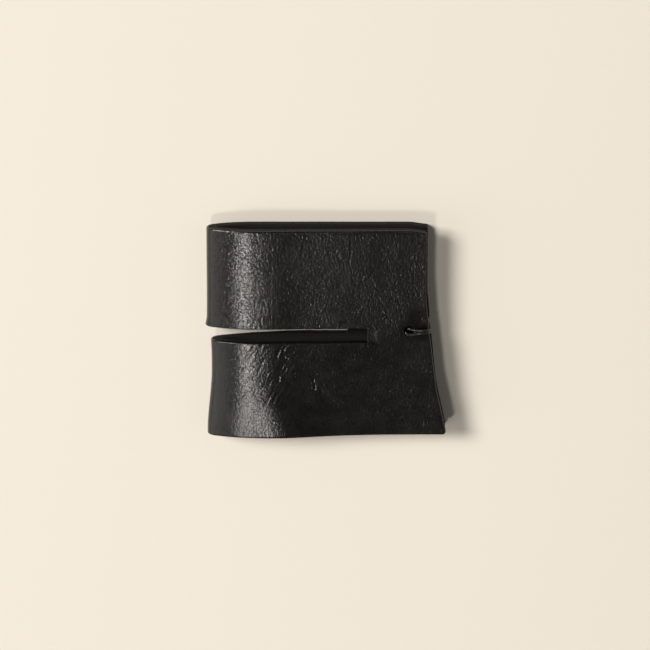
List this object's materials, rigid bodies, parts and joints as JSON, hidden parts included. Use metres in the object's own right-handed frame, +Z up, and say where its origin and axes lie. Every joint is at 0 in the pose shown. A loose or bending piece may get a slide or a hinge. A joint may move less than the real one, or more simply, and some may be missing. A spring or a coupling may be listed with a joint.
{
  "type": "saxophone ligature",
  "caption": "Folded black leather band with a long central slot and laced ends, which clamps a reed to a saxophone mouthpiece.",
  "frame": {"origin": "middle of the band's footprint, on the surface it lies on", "axes": "+X from the round bend to the laced ends, +Y towards the narrow end of the band, +Z up through the flattened loop"},
  "size_m": [0.0446, 0.0404, 0.007],
  "materials": {
    "black_leather": "polished full-grain, fine creases, cut edges a little lighter",
    "black_cord": "waxed thin cord, slightly shiny"
  },
  "bodies": {
    "back_middle": {"lower_strap_back_middle": "black_leather", "upper_strap_back_middle": "black_leather"},
    "back_bend": {"lower_strap_back_bend": "black_leather", "upper_strap_back_bend": "black_leather"},
    "front_bend": {"lower_strap_front_bend": "black_leather", "upper_strap_front_bend": "black_leather"},
    "front_middle": {"lower_strap_front_middle": "black_leather", "upper_strap_front_middle": "black_leather"},
    "front_right": {"front_panel": "black_leather"},
    "front_end": {"front_laced_end": "black_leather"},
    "back_right": {"back_panel": "black_leather"},
    "back_end": {"back_laced_end": "black_leather", "lacing_cord": "black_cord", "lacing_knot": "black_cord"}
  },
  "joints": [
    {"name": "band_open", "type": "hinge", "parent": "back_middle", "child": "back_bend", "pos_m": [-0.00742, 0, 0.002], "axis": [0, 1, 0], "range_deg": [0, 52], "stiffness_Nm_per_rad": 0.0004},
    {"name": "bend_open", "type": "hinge", "parent": "back_bend", "child": "front_bend", "pos_m": [-0.02235, 0, 0.0035], "axis": [0, -1, 0], "range_deg": [0, 104]},
    {"name": "front_left_flex", "type": "hinge", "parent": "front_bend", "child": "front_middle", "pos_m": [-0.00742, 0, 0.005], "axis": [0, 1, 0], "range_deg": [0, 52]},
    {"name": "front_right_flex", "type": "hinge", "parent": "front_middle", "child": "front_right", "pos_m": [0.00377, 0, 0.005], "axis": [0, 1, 0], "range_deg": [0, 70.2]},
    {"name": "front_end_flex", "type": "hinge", "parent": "front_right", "child": "front_end", "pos_m": [0.01425, 0, 0.007], "axis": [0, -1, 0], "range_deg": [0, 70.2]},
    {"name": "back_right_flex", "type": "hinge", "parent": "back_middle", "child": "back_right", "pos_m": [0.00377, 0, 0.002], "axis": [0, -1, 0], "range_deg": [0, 70.2]},
    {"name": "back_end_flex", "type": "hinge", "parent": "back_right", "child": "back_end", "pos_m": [0.01425, 0, 0], "axis": [0, 1, 0], "range_deg": [0, 70.2]}
  ],
  "couplings": [
    {"joint": "bend_open", "follows": "band_open", "ratio": 2},
    {"joint": "front_left_flex", "follows": "band_open", "ratio": 1},
    {"joint": "front_right_flex", "follows": "band_open", "ratio": 1.35},
    {"joint": "front_end_flex", "follows": "band_open", "ratio": 1.35},
    {"joint": "back_right_flex", "follows": "band_open", "ratio": 1.35},
    {"joint": "back_end_flex", "follows": "band_open", "ratio": 1.35}
  ]
}
